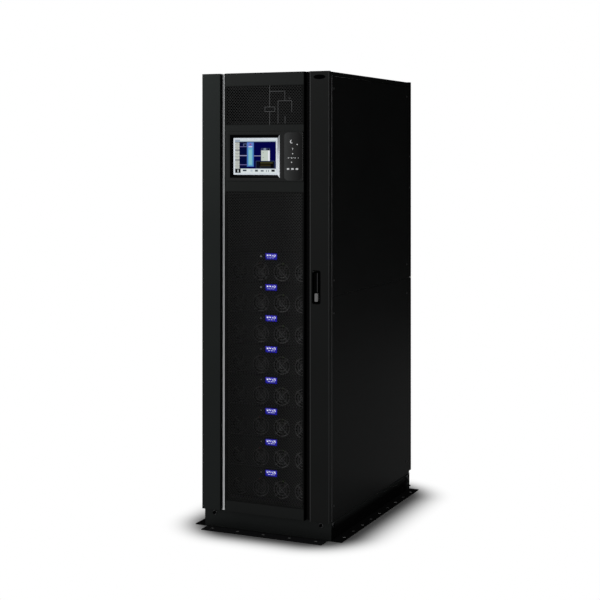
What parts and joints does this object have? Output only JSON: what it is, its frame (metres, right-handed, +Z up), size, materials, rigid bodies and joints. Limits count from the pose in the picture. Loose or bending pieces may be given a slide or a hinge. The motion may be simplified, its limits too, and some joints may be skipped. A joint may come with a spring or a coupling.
{
  "type": "modular UPS cabinet",
  "caption": "Tall black power cabinet with a hinged perforated front door, touch display, swing handle, plug-in power modules and a bolted-down plinth.",
  "frame": {"origin": "on the floor, under the middle of the cabinet and its anchor flanges", "axes": "+X to the right seen from the front, -Y out of the front door, +Z up"},
  "size_m": [0.693, 1.102, 1.97],
  "materials": {
    "black_paint": "fine-texture powder coat, satin",
    "plinth_paint": "fine-texture powder coat, satin",
    "module_paint": "matt powder coat",
    "fan_plastic": "matt moulded plastic",
    "zinc_steel": "zinc-plated steel",
    "hinge_steel": "zinc-plated steel",
    "silver_trim": "satin anodised",
    "bezel_plastic": "satin moulded plastic",
    "silver_frame": "satin silver",
    "screen_glass": "lit display under a clear cover",
    "key_plastic": "satin membrane",
    "key_white": "white keys",
    "badge_gloss": "bare glossy plate",
    "handle_plastic": "moulded plastic",
    "lock_grey": "light grey plastic"
  },
  "bodies": {
    "cabinet": {"plinth_corner_posts": "plinth_paint", "front_skirt": "plinth_paint", "rear_skirt": "plinth_paint", "left_skirt": "plinth_paint", "right_skirt": "plinth_paint", "base_frame": "black_paint", "corner_posts": "black_paint", "top_frame": "black_paint", "roof_panel": "black_paint", "cable_entry_plates": "black_paint", "left_panels": "black_paint", "right_panels": "black_paint", "rear_panels": "black_paint", "rear_grilles": "black_paint", "mounting_rails": "zinc_steel", "module_shelves": "module_paint", "module_fans": "fan_plastic", "bypass_module": "module_paint", "blanking_panels": "module_paint", "hinge_brackets": "hinge_steel", "power_module_1": "module_paint", "power_module_2": "module_paint", "power_module_3": "module_paint", "power_module_4": "module_paint", "power_module_5": "module_paint", "power_module_6": "module_paint", "power_module_7": "module_paint", "power_module_8": "module_paint"},
    "door": {"hinge_sleeves": "hinge_steel", "door_frame": "black_paint", "left_stile": "black_paint", "right_stile": "black_paint", "centre_panel": "black_paint", "upper_grille": "black_paint", "lower_grille": "black_paint", "trim_strips": "silver_trim", "display_housing": "bezel_plastic", "lcd_frame": "silver_frame", "lcd_screen": "screen_glass", "key_panel": "key_plastic", "display_keys": "key_white", "badge_plate": "badge_gloss", "handle_housing": "handle_plastic", "lock_insert": "lock_grey"},
    "lever": {"handle_lever": "handle_plastic"}
  },
  "joints": [
    {"name": "door_hinge", "type": "hinge", "parent": "cabinet", "child": "door", "pos_m": [-0.292, -0.499, 1.025], "axis": [0, 0, -1], "range_deg": [0, 110]},
    {"name": "handle_lift", "type": "hinge", "parent": "door", "child": "lever", "pos_m": [0.2415, -0.504, 1.1195], "axis": [-1, 0, 0], "range_deg": [0, 35]}
  ]
}
